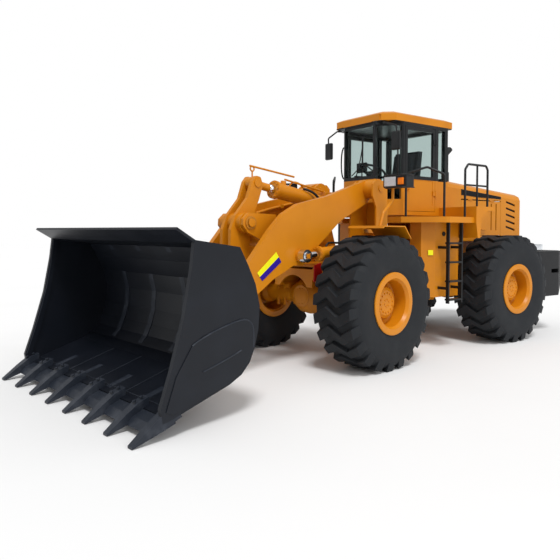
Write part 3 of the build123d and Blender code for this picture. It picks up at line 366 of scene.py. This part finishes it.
def tyreParts(side):
    outline = [(r, -y) for r, y in carcass] + [(r, y) for r, y in reversed(carcass)]
    count, rings = tyre["around"], len(outline)
    points = [rolled(r, y * side, 2 * math.pi * i / count) for i in range(count) for r, y in outline]
    faces = [(i * rings + j, i * rings + (j + 1) % rings, (i + 1) % count * rings + (j + 1) % rings,
              (i + 1) % count * rings + j) for i in range(count) for j in range(rings)]
    return (points, faces), [lugPart(2 * math.pi * n / tyre["lugs"], side) for n in range(tyre["lugs"])]


def wheelPlace(centre, turned):
    turnZ = Matrix.Rotation(turned, 3, "Z")
    return lambda point: centre + turnZ @ Vector(point)


for end, turned in (("front", restSteer), ("rear", 0.0)):
    for sideName, side in bothSides:
        corner = end + "_" + sideName
        body, node = "wheel_" + corner, "tyre_" + corner
        place = wheelPlace(Vector(joints["spin_" + corner]["pos_m"]), turned)
        ring, lugs = tyreParts(side)
        carcassPiece = addPiece(node + "_carcass", [ring], place, "rubber", body, smooth=True)
        addPiece(node + "_lugs", lugs, place, "rubber", body)
        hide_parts(node)
        bolts = [bolt for row in ("outer", "inner")
                 for bolt in boltRing((0, side * hubBolts["face"], 0), (0, side, 0), *hubBolts[row])]
        addPiece("hub_bolts_" + corner, bolts, place, "bodyPaint", body)
print("stage: tyres")

# Bucket: welded side plates, weld beads, wear strips, seams and lip bolts
bucket = {"half": 1.524, "patchThick": 0.008, "bead": 0.007, "patchBead": 0.004, "innerBead": 0.009,
          "edgeBead": -0.040, "stripHalf": 0.045, "stripThick": 0.006, "strips": (-0.95, -0.32, 0.32, 0.95),
          "seam": 0.004, "seamEnds": (-1.45, 0, 1.45), "seams": (-0.62, 0.0, 0.62)}
lip = {"teeth": 8, "inset": 0.048, "x": 4.955, "z": 0.262, "rows": (0.0, 0.07), "fall": 0.36,
       "way": (0.34, 0, 0.94), "bolt": (0.018, 0.014, 6)}
patch = [(4.74, 0.76), (4.62, 0.83), (4.20, 0.94), (4.08, 0.91), (4.04, 0.80), (4.05, 0.66), (4.12, 0.53),
         (4.35, 0.37), (4.93, 0.21), (5.00, 0.24), (4.90, 0.52)]
beadRuns = [(bucket["patchBead"], patch[:6]),
            (bucket["innerBead"], [(4.63, 0.52), (4.42, 0.57), (4.20, 0.65)]),
            (bucket["edgeBead"], [(4.70, 1.64), (4.72, 1.42), (4.80, 1.00), (4.93, 0.56), (5.03, 0.27)])]
backLine = [(4.90, 0.205), (4.34, 0.372), (4.21, 0.432), (4.12, 0.53), (4.06, 0.66), (4.013, 0.82),
            (3.996, 1.04), (4.046, 1.25), (4.135, 1.43), (4.225, 1.575)]
seamLine = [(4.872, 0.2155), (4.60, 0.298), (4.35, 0.374)]
for sideName, side in bothSides:
    outer = bucket["half"] * side
    sheet = sidePlate(side, patch, bucket["half"] + bucket["patchThick"], bucket["patchThick"])
    addPiece("bucket_patch_" + sideName, [sheet], front, "bucketPaint", "bucket", bevel=0.002)
    lines = [[(x, outer + side * proud, z) for x, z in run] for proud, run in beadRuns]
    addTube("bucket_beads_" + sideName, lines, bucket["bead"], front, "edgeSteel", "bucket")
strips = []
for y in bucket["strips"]:
    y0, y1 = y - bucket["stripHalf"], y + bucket["stripHalf"]
    for (x0, z0), (x1, z1) in zip(backLine, backLine[1:]):
        strips.append(platePart([(x0, y0, z0), (x0, y1, z0), (x1, y1, z1), (x1, y0, z1)], bucket["stripThick"]))
addPiece("bucket_wear_strips", strips, front, "edgeSteel", "bucket")
seams = [[(seamLine[0][0], y, seamLine[0][1]) for y in bucket["seamEnds"]]]
seams += [[(x, y, z) for x, z in seamLine] for y in bucket["seams"]]
addTube("bucket_seams", seams, bucket["seam"], front, "edgeSteel", "bucket")
toothStep = (2 * bucket["half"] - 2 * lip["inset"]) / (lip["teeth"] - 1)
lipBolts = [discPart((lip["x"] + dx, -bucket["half"] + lip["inset"] + i * toothStep, lip["z"] - dx * lip["fall"]),
                     lip["way"], *lip["bolt"]) for i in range(lip["teeth"]) for dx in lip["rows"]]
addPiece("bucket_lip_bolts", lipBolts, front, "edgeSteel", "bucket")
print("stage: bucket")

# Boom: blank two-colour signs, pipes with clamps, caps on two pins
armOuter = 0.520
sign = {"upper": [(3.128, 1.257), (2.825, 1.497), (2.783, 1.435), (3.089, 1.208)],
        "lower": [(3.089, 1.208), (2.783, 1.435), (2.741, 1.373), (3.049, 1.159)], "thick": 0.003}
pipes = {"radius": 0.017, "inner": 0.418, "apart": 0.04, "drop": 0.03}
clamp = {"half": 0.03, "y": (0.355, 0.445), "low": 0.06, "high": 0.008}
caps = {"pivot": {"spot": (3.000, 0.2745, 1.850), "disc": (0.052, 0.012, 24), "sunk": 0.009,
                  "bolts": (0.066, 0.007, 0.008, 6)},
        "eye": {"spot": (2.420, 0.674, 1.440), "disc": (0.030, 0.008, 20), "sunk": 0.0,
                "bolts": (0.041, 0.006, 0.008, 4)}}
topRun = [(1.25, 2.27), (1.885, 2.14), (2.40, 2.02), (2.66, 1.89), (2.85, 1.72)]


def pinCaps(cap):
    x, y, z = cap["spot"]
    parts = []
    for side in (1, -1):
        parts.append(discPart((x, side * y, z), (0, side, 0), *cap["disc"]))
        parts += boltRing((x, side * (y - cap["sunk"]), z), (0, side, 0), *cap["bolts"])
    return parts


for sideName, side in bothSides:
    for part, look in (("upper", "signYellow"), ("lower", "signBlue")):
        sheet = sidePlate(side, sign[part][::-1], armOuter + sign["thick"], sign["thick"])
        addPiece("sign_" + part + "_" + sideName, [sheet], front, look, "boom")
pipeRuns = [[(x, side * (pipes["inner"] - n * pipes["apart"]), z - pipes["drop"]) for x, z in topRun]
            for side in (1, -1) for n in (0, 1)]
addTube("boom_pipes", pipeRuns, pipes["radius"], front, "bodyPaint", "boom")
clamps = [sideBox(side, (x - clamp["half"], x + clamp["half"]), clamp["y"], (z - clamp["low"], z - clamp["high"]))
          for side in (1, -1) for x, z in topRun[1:4]]
addPiece("pipe_clamps", clamps, front, "bodyPaint", "boom", bevel=0.004)
addPiece("pivot_caps", pinCaps(caps["pivot"]), front, "bodyPaint", "bellcrank_pin", bevel=0.002)
addPiece("lift_eye_caps", pinCaps(caps["eye"]), front, "bodyPaint", "lift_rods", bevel=0.002)

# Tilt cylinder: gland, ports, return tube, handle, hose and the bucket level rod.
# Runs are given along the cylinder, above it, to its side, and raised
tilt = {"base": (1.065, 0, 2.087), "eye": (2.760, 0, 2.360), "glandAt": 1.300, "gland": (0.122, 0.050, 32),
        "glandBolts": (0.100, 0.012, 0.016, 10), "shineAt": 0.02, "shine": (0.0532, 0.12, 32),
        "frontPort": 1.18, "rearPort": 0.30, "portUp": 0.12, "bossSunk": 0.03, "boss": (0.038, 0.06, 20),
        "block": ((-0.11, -0.07, -0.03), (0.11, 0.07, 0.06)), "tube": 0.013, "tubeUp": 0.05, "tubeSide": 0.02,
        "tubeRun": (0.0, -0.10, -0.30, -0.62, -0.80), "handle": 0.011, "hose": 0.017,
        "handleRun": ((-0.12, -0.01), (-0.16, 0.06), (-0.28, 0.07), (-0.38, 0.03), (-0.42, -0.02)),
        "hoseRun": ((0.84, 0.115, 0.05, 0), (0.74, 0.10, 0.14, 0), (0.58, 0, 0.17, -0.02),
                    (0.40, 0, 0.14, -0.10), (0.34, 0, 0.05, -0.12))}
level = {"rod": 0.013, "ends": ((2.800, 0, 2.580), (2.008, 0, 2.491)), "ringX": 2.760, "ringZ": 2.545,
         "ringRadius": 0.032, "tube": 0.010, "corners": 12, "stem": ((2.760, 0, 2.440), (2.760, 0, 2.514))}
tiltBase, tiltEye = Vector(tilt["base"]), Vector(tilt["eye"])
tiltWay = (tiltEye - tiltBase).normalized()
tiltUp = Vector((-tiltWay.z, 0, tiltWay.x))


def onTilt(along, up=0.0, aside=0.0, raised=0.0):
    return tiltBase + tiltWay * along + tiltUp * up + Vector((0, aside, raised))


def glandParts(spot, way, disc, bolts):
    return [discPart(spot, way, *disc)] + boltRing(spot + way * disc[1], way, *bolts)


tiltGland = glandParts(onTilt(tilt["glandAt"]), tiltWay, tilt["gland"], tilt["glandBolts"])
addPiece("tilt_gland", tiltGland, front, "bodyPaint", "tilt_barrel", bevel=0.003)
shine = discPart(onTilt(tilt["glandAt"] + tilt["shineAt"]), tiltWay, *tilt["shine"])
addPiece("tilt_rod_shine", [shine], front, "chrome", "tilt_rod", smooth=True)
boss = discPart(onTilt(tilt["frontPort"], tilt["portUp"] - tilt["bossSunk"]), tiltUp, *tilt["boss"])
rearPort = onTilt(tilt["rearPort"], tilt["portUp"])
block = boxPart(*(rearPort + Vector(corner) for corner in tilt["block"]))
addPiece("tilt_ports", [boss, block], front, "bodyPaint", "tilt_barrel", bevel=0.006)
tubeLine = [onTilt(tilt["frontPort"] + d, tilt["portUp"] + tilt["tubeUp"], tilt["tubeSide"]) for d in tilt["tubeRun"]]
addTube("tilt_tube", [tubeLine], tilt["tube"], front, "bodyPaint", "tilt_barrel")
loop = [onTilt(tilt["frontPort"] + d, tilt["portUp"] + u) for d, u in tilt["handleRun"]]
addTube("tilt_handle", [loop], tilt["handle"], front, "bodyPaint", "tilt_barrel")
addTube("tilt_hose", [[onTilt(*spot) for spot in tilt["hoseRun"]]], tilt["hose"], front, "hoseBlack", "tilt_barrel")
addTube("level_rod", [level["ends"]], level["rod"], front, "bodyPaint", "tilt_rod")
turns = [2 * math.pi * i / level["corners"] for i in range(level["corners"] + 1)]
ringPoints = [(level["ringX"] + level["ringRadius"] * math.cos(a), 0, level["ringZ"] + level["ringRadius"] * math.sin(a))
              for a in turns]
addTube("level_ring", [ringPoints, level["stem"]], level["tube"], front, "bodyPaint", "tilt_rod")

# Lift cylinders: gland rings with bolts, and hoses
lift = {"base": (1.050, 0, 1.550), "eye": (2.420, 0, 1.440), "y": 0.612, "glandAt": 1.100,
        "gland": (0.098, 0.044, 28), "glandBolts": (0.080, 0.010, 0.014, 10), "hoseAt": 0.98, "hoseUp": 0.08,
        "hose": 0.014, "hoseRun": ((0, 0, 0), (-0.02, 0, 0.05), (-0.16, 0.02, 0.05), (-0.45, 0.03, 0.035),
                                   (-0.76, 0.04, 0.05))}
liftBase, liftEye = Vector(lift["base"]), Vector(lift["eye"])
liftWay = (liftEye - liftBase).normalized()
glands, liftHoses = [], []
for side in (1, -1):
    spot = liftBase + liftWay * lift["glandAt"] + Vector((0, side * lift["y"], 0))
    glands += glandParts(spot, liftWay, lift["gland"], lift["glandBolts"])
    spot = liftBase + liftWay * lift["hoseAt"] + Vector((0, side * lift["y"], lift["hoseUp"]))
    liftHoses.append([spot + Vector((x, -side * y, z)) for x, y, z in lift["hoseRun"]])
addPiece("lift_glands", glands, front, "bodyPaint", "lift_barrels", bevel=0.003)
addTube("lift_hoses", liftHoses, lift["hose"], front, "hoseBlack", "lift_barrels")
print("stage: boom and cylinders")

# Front frame and axles: red tie-down hooks, flange discs and bolts
hook = {"outline": [(2.020, 1.300), (1.900, 1.330), (1.880, 1.190), (1.960, 1.090), (2.030, 1.080)],
        "y": 0.412, "thick": 0.024}
axle = {"x": 1.625, "z": 0.850, "boltsAt": 0.236, "bolts": (0.105, 0.011, 0.014, 12), "flangeAt": 0.20,
        "flange": (0.150, 0.040, 32), "padDrop": 0.175, "padX": (-0.10, 0.10), "padY": (0.46, 0.60),
        "padBolt": (0.022, 0.35, 12)}
hooks = [sidePlate(side, hook["outline"], hook["y"], hook["thick"]) for side in (1, -1)]
addPiece("tie_hooks", hooks, front, "redPaint", "front_frame", bevel=0.004)
for axleName, facing, place, body in (("front", 1, front, "front_frame"), ("rear", -1, rear, "rear_frame")):
    x, way = facing * axle["x"], (facing, 0, 0)
    bolts = boltRing((x + facing * axle["boltsAt"], 0, axle["z"]), way, *axle["bolts"])
    bolts.append(discPart((x + facing * axle["flangeAt"], 0, axle["z"]), way, *axle["flange"]))
    bolts += [discPart((x + dx, side * y, axle["z"] - axle["padDrop"]), (0, 0, 1), *axle["padBolt"])
              for side in (1, -1) for dx in axle["padX"] for y in axle["padY"]]
    addPiece("axle_bolts_" + axleName, bolts, place, "bodyPaint", body)

# Front lamps: black housings with a clear face, an amber turn lamp and guard bars
lamps = {"lamp_housings": {"box": ((1.030, 1.205), (0.910, 1.275), (2.335, 2.495)), "look": "cabBlack", "edge": 0.008},
         "lamp_faces": {"box": ((1.205, 1.215), (0.925, 1.110), (2.355, 2.480)), "look": "lampFace", "edge": 0.004},
         "turn_lamps": {"box": ((1.205, 1.227), (1.150, 1.235), (2.370, 2.460)), "look": "amber", "edge": 0.006}}
guard = {"tube": 0.009, "heights": (2.335, 2.500),
         "run": [(1.05, 0.90), (1.235, 0.905), (1.245, 1.10), (1.235, 1.285), (1.05, 1.29)]}
for name, lamp in lamps.items():
    boxes = [sideBox(side, *lamp["box"]) for side in (1, -1)]
    addPiece(name, boxes, front, lamp["look"], "front_frame", bevel=lamp["edge"])
guards = [[(x, side * y, z) for x, y in guard["run"]] for side in (1, -1) for z in guard["heights"]]
addTube("lamp_guards", guards, guard["tube"], front, "cabBlack", "front_frame")
print("stage: front lamps")

# Cab: roof lip, wiper, grab bars, mirror heads, door panels, monitor and levers
cab = {"roofLip": [((-0.90, -0.640, 3.385), (0.40, 0.640, 3.400)), ((0.40, -0.50, 3.385), (0.555, 0.50, 3.400))],
       "wipers": [[(0.545, -0.05, 2.58), (0.552, 0.06, 2.80), (0.548, 0.10, 3.05)],
                  [(0.545, -0.14, 2.62), (0.550, 0.02, 2.72)]],
       "wiper": 0.008, "blade": ((0.538, 0.085, 2.78), (0.550, 0.115, 3.20)), "grab": 0.012,
       "grabRun": [(0.30, 0.60, 2.62), (0.33, 0.63, 2.66), (0.33, 0.63, 3.10), (0.30, 0.60, 3.14)],
       "mirror": ((0.470, 0.522), (0.668, 0.832), (2.935, 3.210)),
       "doorPanel": ((-0.444, 0.134), (0.615, 0.641), (2.150, 2.542)),
       "monitor": [((0.20, -0.36, 2.70), (0.24, -0.14, 2.86)), ((0.21, -0.26, 2.56), (0.23, -0.24, 2.70))],
       "lever": 0.012, "leverRun": [(-0.10, 2.52), (-0.06, 2.62), (-0.05, 2.68)], "leverRows": (-0.40, -0.33),
       "knob": (0.022, 0.05, 16)}
addPiece("roof_lip", [boxPart(*box) for box in cab["roofLip"]], rear, "cabBlack", "rear_frame", bevel=0.003)
addTube("wiper", cab["wipers"], cab["wiper"], rear, "hoseBlack", "rear_frame")
addPiece("wiper_blade", [boxPart(*cab["blade"])], rear, "hoseBlack", "rear_frame", bevel=0.003)
sideGrabs = [[(x, side * y, z) for x, y, z in cab["grabRun"]] for side in (1, -1)]
addTube("cab_grab_bars", sideGrabs, cab["grab"], rear, "cabBlack", "rear_frame")
mirrorHeads = [sideBox(side, *cab["mirror"]) for side in (1, -1)]
addPiece("mirror_heads", mirrorHeads, rear, "cabBlack", "rear_frame", bevel=0.022)
for sideName, side, body in (("left", 1, "door"), ("right", -1, "rear_frame")):
    addPiece("door_panel_" + sideName, [sideBox(side, *cab["doorPanel"])], rear, "bodyPaint", body, bevel=0.004)
addPiece("cab_monitor", [boxPart(*box) for box in cab["monitor"]], rear, "plastic", "rear_frame", bevel=0.01)
levers = [[(x, y, z) for x, z in cab["leverRun"]] for y in cab["leverRows"]]
addTube("control_levers", levers, cab["lever"], rear, "plastic", "rear_frame")
knobs = [discPart(run[-1], (0, 0, 1), *cab["knob"]) for run in levers]
addPiece("lever_knobs", knobs, rear, "plastic", "rear_frame", bevel=0.006)

# Seat pads: boxes filled by a short cloth run
pads = {"voxel": 0.006, "pressure": 4.0, "frames": 20, "cap": 0.014, "round": 0.014, "fill": 0.8,
        "squab": ((-0.425, -0.055), (2.432, 2.482)), "back": ((0.030, 0.560), (0.006, 0.052)), "half": 0.225,
        "backFoot": (-0.420, 0, 2.470), "backHead": (-0.548, 0, 3.060)}


def applyShape(obj):
    # keeps what the modifiers make and drops them
    shaped = bpy.data.meshes.new_from_object(obj.evaluated_get(bpy.context.evaluated_depsgraph_get()))
    obj.modifiers.clear()
    obj.data = shaped


def fillPad(obj):
    edge = obj.modifiers.new("round", "BEVEL")
    edge.width, edge.segments = pads["round"], 3
    cells = obj.modifiers.new("cells", "REMESH")
    cells.mode, cells.voxel_size = "VOXEL", pads["voxel"]
    applyShape(obj)
    flat = [v.co.copy() for v in obj.data.vertices]
    cloth = obj.modifiers.new("cloth", "CLOTH")
    cloth.settings.use_pressure = True
    cloth.settings.uniform_pressure_force = pads["pressure"]
    cloth.settings.effector_weights.gravity = 0
    cloth.point_cache.frame_start, cloth.point_cache.frame_end = 1, pads["frames"]
    for step in range(1, pads["frames"] + 1):
        bpy.context.scene.frame_set(step)
    applyShape(obj)
    bpy.context.scene.frame_set(1)
    for v, start in zip(obj.data.vertices, flat):
        move = v.co - start
        if move.length > pads["cap"]:
            v.co = start + move.normalized() * pads["cap"]
    for face in obj.data.polygons:
        face.use_smooth = True


backWay = (Vector(pads["backHead"]) - Vector(pads["backFoot"])).normalized()
backOut = Vector((backWay.z, 0, -backWay.x))


def onBack(point):
    return rear(Vector(pads["backFoot"]) + backWay * point[0] + backOut * point[2] + Vector((0, point[1], 0)))


(squabRear, squabFront), (squabLow, squabHigh) = pads["squab"]
squab = addPiece("seat_squab", [boxPart((squabRear, -pads["half"], squabLow), (squabFront, pads["half"], squabHigh))],
                 rear, "fabric", "rear_frame")
(backLow, backHigh), (backNear, backFar) = pads["back"]
backBox = boxPart((backLow, -pads["half"], backNear), (backHigh, pads["half"], backFar))
backPad = addPiece("seat_back_pad", [backBox], onBack, "fabric", "rear_frame")
for pad in (squab, backPad):
    fillPad(pad)
print("stage: seat pads")

# Hood and rear: mesh band above the lids, backing of the louvres, reflectors, blank plate and tank cap
hood = {"front": -0.850, "rear": -2.910, "half": 0.600, "topFront": 2.590, "topRear": 2.430}
band = {"from": -1.210, "to": -2.320, "drop": 0.105, "deep": 0.098, "proud": 0.004, "overLids": 2.325,
        "thick": 0.008, "bars": 46, "barHalf": 0.003, "barGap": 0.006, "barOut": (0.003, 0.009)}
backing = ((-2.80, -2.44), (0.561, 0.569), (1.72, 2.33))
stripes = {"x": (-3.574, -3.564), "y": (0.86, 0.93), "foot": 0.98, "step": 0.0396, "tall": 0.0385, "count": 10}
blank = {"corners": [(0.033, 0.9685, 1.480), (-0.027, 1.0108, 1.480), (-0.027, 1.0108, 1.405),
                     (0.033, 0.9685, 1.405)], "thick": 0.003}
tankCap = {"spot": (-0.25, 1.018, 1.72), "disc": (0.035, 0.014, 20)}


def hoodTop(x):
    share = (x - hood["front"]) / (hood["rear"] - hood["front"])
    return hood["topFront"] + (hood["topRear"] - hood["topFront"]) * share


def bandHigh(x):
    return hoodTop(x) - band["drop"]


def bandLow(x):
    return max(bandHigh(x) - band["deep"], band["overLids"])


bandOutline = [(band["from"], bandHigh(band["from"])), (band["to"], bandHigh(band["to"])),
               (band["to"], bandLow(band["to"])), (band["from"], bandLow(band["from"]))]
barY = [hood["half"] + proud for proud in band["barOut"]]
barSpots = [band["from"] + (band["to"] - band["from"]) * (i + 0.5) / band["bars"] for i in range(band["bars"])]
bands = [sidePlate(side, bandOutline, hood["half"] + band["proud"], band["thick"]) for side in (1, -1)]
bandBars = [sideBox(side, (x - band["barHalf"], x + band["barHalf"]), barY,
                    (bandLow(x) + band["barGap"], bandHigh(x) - band["barGap"])) for side in (1, -1) for x in barSpots]
addPiece("mesh_band", bands, rear, "cabBlack", "rear_frame")
addPiece("mesh_band_bars", bandBars, rear, "castBlack", "rear_frame")
addPiece("louvre_backing", [sideBox(side, *backing) for side in (1, -1)], rear, "castBlack", "rear_frame")
for look, start in (("stripeRed", 0), ("stripeWhite", 1)):
    feet = [stripes["foot"] + i * stripes["step"] for i in range(start, stripes["count"], 2)]
    parts = [sideBox(side, stripes["x"], stripes["y"], (z, z + stripes["tall"])) for side in (1, -1) for z in feet]
    addPiece("reflector_" + look, parts, rear, look, "rear_frame")
addPiece("blank_plate", [platePart(blank["corners"], blank["thick"])], rear, "signYellow", "rear_frame")
cap = discPart(tankCap["spot"], (0, 1, 0), *tankCap["disc"])
addPiece("tank_cap", [cap], rear, "cabBlack", "rear_frame", bevel=0.003)
print("stage: rear half")

# Floor
floorHalf = 60.0
bpy.ops.mesh.primitive_plane_add(size=2 * floorHalf, location=(0, 0, 0))
floor = bpy.context.object
floor.name = "floor"
looks["floor"] = makeFinish("floor", {"base": (0.84, 0.84, 0.84, 1), "worn": (0.8, 0.8, 0.8, 1), "rough": 0.85,
                                      "scale": 0.3, "bump": 0.0})
floor.data.materials.append(looks["floor"])

# World: white behind the object, a softer level for its light
sky = {"seen": 1.0, "light": 0.62}
world = bpy.data.worlds.new("studio")
bpy.context.scene.world = world
world.use_nodes = True
tree = world.node_tree
lit = tree.nodes["Background"]
seen = tree.nodes.new("ShaderNodeBackground")
rays = tree.nodes.new("ShaderNodeLightPath")
mix = tree.nodes.new("ShaderNodeMixShader")
lit.inputs["Color"].default_value = seen.inputs["Color"].default_value = (1, 1, 1, 1)
lit.inputs["Strength"].default_value = sky["light"]
seen.inputs["Strength"].default_value = sky["seen"]
linkAll(tree, [(rays.outputs["Is Camera Ray"], mix.inputs["Fac"]), (lit.outputs["Background"], mix.inputs[1]),
               (seen.outputs["Background"], mix.inputs[2]),
               (mix.outputs["Shader"], tree.nodes["World Output"].inputs["Surface"])])


# Lamps
def addSun(name, azimuth, elevation, energy, angle):
    light = bpy.data.lights.new(name, "SUN")
    light.energy, light.angle = energy, math.radians(angle)
    obj = bpy.data.objects.new(name, light)
    a, e = math.radians(azimuth), math.radians(elevation)
    toLamp = Vector((math.cos(a) * math.cos(e), math.sin(a) * math.cos(e), math.sin(e)))
    obj.rotation_euler = toLamp.to_track_quat("Z", "Y").to_euler()
    bpy.context.collection.objects.link(obj)


addSun("key", azimuth=60, elevation=58, energy=1.9, angle=14)
addSun("side", azimuth=95, elevation=25, energy=0.7, angle=40)

# Camera, fitted to the near rims, the bucket's teeth and corners and the tyres' contact heights;
# its pitch was chosen among several
eye = {"spot": (6.732, 6.613, 1.740), "yaw": 233.866, "pitch": 1.5, "roll": 0.209, "focalPixels": 577.59, "sensor": 36,
       "photoWidth": 560, "opticX": 286.86, "opticY": 247.04}
yaw, pitch, roll = (math.radians(eye[key]) for key in ("yaw", "pitch", "roll"))
look = Vector((math.cos(yaw) * math.cos(pitch), math.sin(yaw) * math.cos(pitch), -math.sin(pitch)))
right = Vector((math.sin(yaw), -math.cos(yaw), 0))
up = right.cross(look)
rolledRight = right * math.cos(roll) + up * math.sin(roll)
rolledUp = up * math.cos(roll) - right * math.sin(roll)
cameraData = bpy.data.cameras.new("camera")
cameraData.sensor_width = eye["sensor"]
cameraData.lens = eye["focalPixels"] * cameraData.sensor_width / eye["photoWidth"]
cameraData.shift_x = (eye["photoWidth"] / 2 - eye["opticX"]) / eye["photoWidth"]
cameraData.shift_y = (eye["opticY"] - eye["photoWidth"] / 2) / eye["photoWidth"]
camera = bpy.data.objects.new("camera", cameraData)
turnedEye = Matrix((rolledRight, rolledUp, -look)).transposed().to_4x4()
camera.matrix_world = Matrix.Translation(rear(eye["spot"])) @ turnedEye
bpy.context.collection.objects.link(camera)
bpy.context.scene.camera = camera
bpy.context.scene.view_settings.view_transform = "Standard"
print("stage: camera and light")
